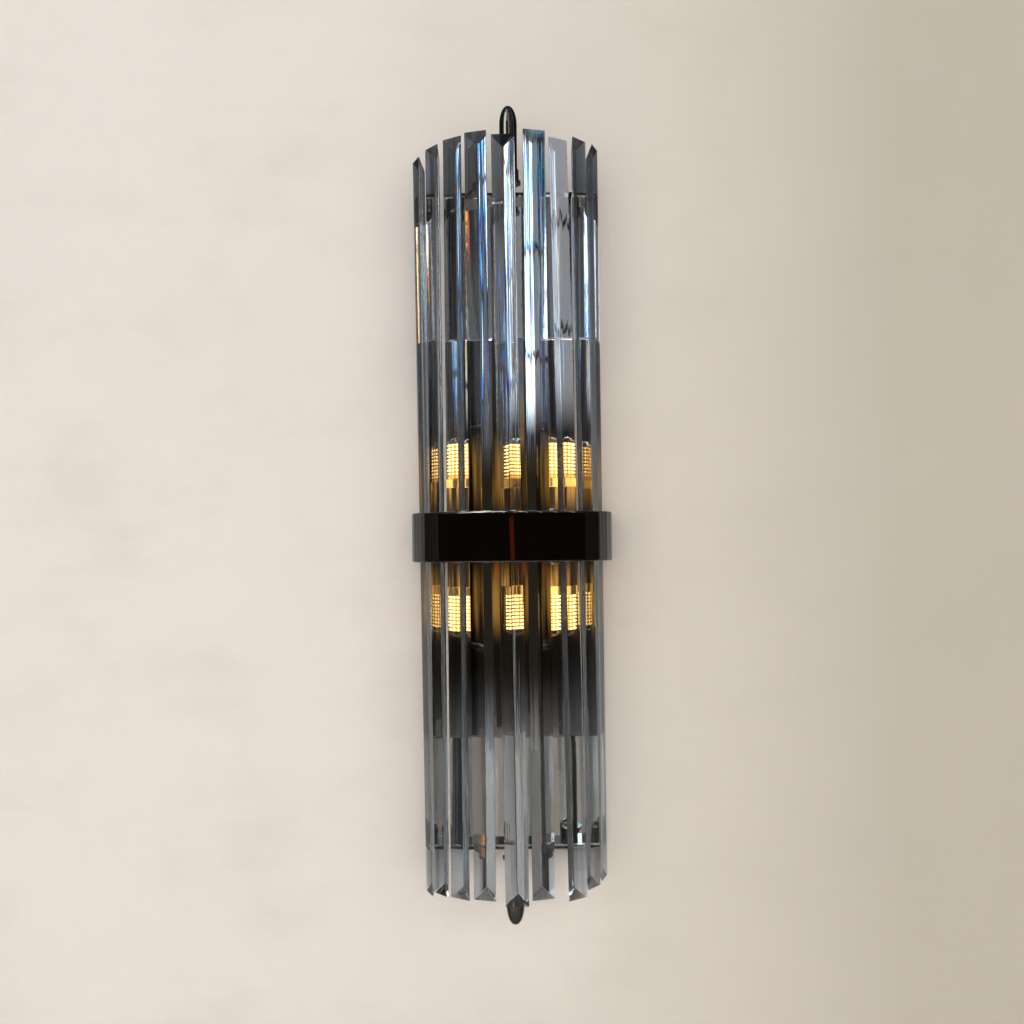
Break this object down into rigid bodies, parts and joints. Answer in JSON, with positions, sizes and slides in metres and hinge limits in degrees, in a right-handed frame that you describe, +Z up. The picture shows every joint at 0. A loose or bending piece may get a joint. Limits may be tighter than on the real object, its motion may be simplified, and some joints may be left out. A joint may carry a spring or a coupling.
{
  "type": "crystal wall sconce",
  "caption": "Tall half-round wall sconce of upright triangular crystal bars held by a mirror-black waist band, with lamps inside and a pointed finial at the top and the bottom.",
  "frame": {"origin": "on the wall, at the middle of the wall bracket, level with the middle of the waist band", "axes": "+Z up along the crystals, +Y into the wall, +X to the right as seen from the room"},
  "size_m": [0.15, 0.093, 0.6],
  "materials": {
    "crystal": "clear, polished, bevelled",
    "black_nickel": "mirror-polished black nickel plate",
    "zinc_steel": "zinc-plated",
    "brass_metal": "plain",
    "holder_ceramic": "unglazed white",
    "lamp_ceramic": "smooth white",
    "lamp_glow": "glowing phosphor",
    "lamp_glass": "clear",
    "pin_metal": "bright",
    "clear_pad": "translucent soft plastic",
    "black_rubber": "matte",
    "brown_wire": "silicone insulation",
    "blue_wire": "silicone insulation",
    "earth_wire": "green and yellow insulation",
    "terminal_plastic": "moulded"
  },
  "bodies": {
    "fixture": {"band": "black_nickel", "band_screws": "zinc_steel", "box_cap_nuts": "black_nickel", "bracket_studs": "zinc_steel", "cable_grommet": "black_rubber", "chassis_plate": "black_nickel", "column": "black_nickel", "column_nut": "black_nickel", "cover_box": "black_nickel", "crystal_1": "crystal", "crystal_2": "crystal", "crystal_3": "crystal", "crystal_4": "crystal", "crystal_5": "crystal", "crystal_6": "crystal", "crystal_7": "crystal", "crystal_8": "crystal", "crystal_9": "crystal", "crystal_pads": "clear_pad", "earth_lead": "earth_wire", "earth_screw": "brass_metal", "finial_bottom": "black_nickel", "finial_top": "black_nickel", "holder_screws": "zinc_steel", "inner_wall": "black_nickel", "lampholder_lower_left": "holder_ceramic", "lampholder_lower_right": "holder_ceramic", "lampholder_upper_left": "holder_ceramic", "lampholder_upper_right": "holder_ceramic", "live_leads": "brown_wire", "neutral_leads": "blue_wire", "spacer_screws": "zinc_steel", "tab_nuts": "zinc_steel", "tab_screws": "zinc_steel", "terminal_block": "terminal_plastic", "terminal_screws": "brass_metal", "waist_plate_lower": "black_nickel", "waist_plate_upper": "black_nickel", "waist_spacers": "zinc_steel", "wall_bracket": "zinc_steel", "yoke_bottom": "black_nickel", "yoke_cap_nuts": "black_nickel", "yoke_screws": "zinc_steel", "yoke_top": "black_nickel"},
    "lamp_upper_left": {"lamp_base_upper_left": "lamp_ceramic", "lamp_pins_upper_left": "pin_metal", "lamp_core_upper_left": "lamp_glow", "lamp_cover_upper_left": "lamp_glass"},
    "lamp_upper_right": {"lamp_base_upper_right": "lamp_ceramic", "lamp_pins_upper_right": "pin_metal", "lamp_core_upper_right": "lamp_glow", "lamp_cover_upper_right": "lamp_glass"},
    "lamp_lower_left": {"lamp_base_lower_left": "lamp_ceramic", "lamp_pins_lower_left": "pin_metal", "lamp_core_lower_left": "lamp_glow", "lamp_cover_lower_left": "lamp_glass"},
    "lamp_lower_right": {"lamp_base_lower_right": "lamp_ceramic", "lamp_pins_lower_right": "pin_metal", "lamp_core_lower_right": "lamp_glow", "lamp_cover_lower_right": "lamp_glass"}
  },
  "joints": [
    {"name": "pull_lamp_upper_left", "type": "slide", "parent": "fixture", "child": "lamp_upper_left", "axis": [0, 0, 1], "range_m": [0, 0.014]},
    {"name": "pull_lamp_upper_right", "type": "slide", "parent": "fixture", "child": "lamp_upper_right", "axis": [0, 0, 1], "range_m": [0, 0.014]},
    {"name": "pull_lamp_lower_left", "type": "slide", "parent": "fixture", "child": "lamp_lower_left", "axis": [0, 0, -1], "range_m": [0, 0.014]},
    {"name": "pull_lamp_lower_right", "type": "slide", "parent": "fixture", "child": "lamp_lower_right", "axis": [0, 0, -1], "range_m": [0, 0.014]}
  ]
}
